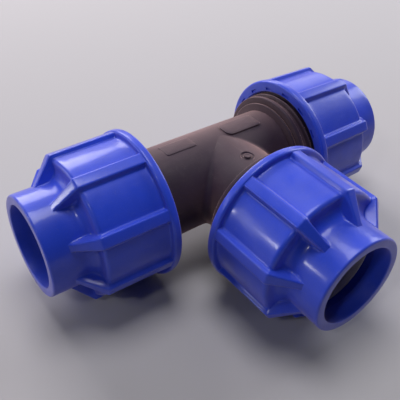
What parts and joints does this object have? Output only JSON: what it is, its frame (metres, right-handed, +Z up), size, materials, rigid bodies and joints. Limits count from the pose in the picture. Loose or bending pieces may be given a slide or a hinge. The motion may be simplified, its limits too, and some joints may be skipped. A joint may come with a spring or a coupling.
{
  "type": "compression tee pipe fitting",
  "caption": "Compression tee for polyethylene pipe: black moulded body with threaded spigots, blue ribbed screw nuts over split grip rings, bushes and rubber seals.",
  "frame": {"origin": "middle of the whole tee's box in plan, on the surface that the nut flanges stand on", "axes": "+X along the run towards the right arm, the branch points to -Y, +Z up"},
  "size_m": [0.329, 0.2207, 0.1204],
  "materials": {
    "body_plastic": "satin injection-moulded black polypropylene",
    "nut_plastic": "smooth injection-moulded royal blue polypropylene",
    "grip_plastic": "smooth white acetal",
    "bush_plastic": "smooth dark grey polypropylene",
    "seal_rubber": "smooth black nitrile rubber"
  },
  "bodies": {
    "tee": {"tee_body": "body_plastic", "left_o_ring": "seal_rubber", "right_o_ring": "seal_rubber", "branch_o_ring": "seal_rubber"},
    "left_grip_ring": {"left_grip_ring": "grip_plastic"},
    "left_nut": {"left_nut": "nut_plastic"},
    "left_press_bush": {"left_press_bush": "bush_plastic"},
    "right_grip_ring": {"right_grip_ring": "grip_plastic"},
    "right_nut": {"right_nut": "nut_plastic"},
    "right_press_bush": {"right_press_bush": "bush_plastic"},
    "branch_grip_ring": {"branch_grip_ring": "grip_plastic"},
    "branch_nut": {"branch_nut": "nut_plastic"},
    "branch_press_bush": {"branch_press_bush": "bush_plastic"}
  },
  "joints": [
    {"name": "left_ring_slide", "type": "slide", "parent": "tee", "child": "left_grip_ring", "axis": [-1, 0, 0], "range_m": [-0.00101, 0.03001]},
    {"name": "left_nut_turn", "type": "hinge", "parent": "left_grip_ring", "child": "left_nut", "pos_m": [-0.16445, 0.05025, 0.0602], "axis": [-1, 0, 0], "range_deg": [-60, 1800]},
    {"name": "left_bush_slide", "type": "slide", "parent": "tee", "child": "left_press_bush", "axis": [-1, 0, 0], "range_m": [0, 0.0025]},
    {"name": "right_ring_slide", "type": "slide", "parent": "tee", "child": "right_grip_ring", "axis": [1, 0, 0], "range_m": [-0.00751, 0.03001]},
    {"name": "right_nut_turn", "type": "hinge", "parent": "right_grip_ring", "child": "right_nut", "pos_m": [0.16445, 0.05025, 0.0602], "axis": [1, 0, 0], "range_deg": [-450, 1800]},
    {"name": "right_bush_slide", "type": "slide", "parent": "tee", "child": "right_press_bush", "axis": [1, 0, 0], "range_m": [0, 0.0025]},
    {"name": "branch_ring_slide", "type": "slide", "parent": "tee", "child": "branch_grip_ring", "axis": [0, -1, 0], "range_m": [-0.00751, 0.03001]},
    {"name": "branch_nut_turn", "type": "hinge", "parent": "branch_grip_ring", "child": "branch_nut", "pos_m": [0.00375, -0.11045, 0.0602], "axis": [0, -1, 0], "range_deg": [-450, 1800]},
    {"name": "branch_bush_slide", "type": "slide", "parent": "tee", "child": "branch_press_bush", "axis": [0, -1, 0], "range_m": [0, 0.0025]}
  ],
  "couplings": [
    {"joint": "left_ring_slide", "follows": "left_nut_turn", "m_per_rad": 0.00095493},
    {"joint": "right_ring_slide", "follows": "right_nut_turn", "m_per_rad": 0.00095493},
    {"joint": "branch_ring_slide", "follows": "branch_nut_turn", "m_per_rad": 0.00095493}
  ]
}
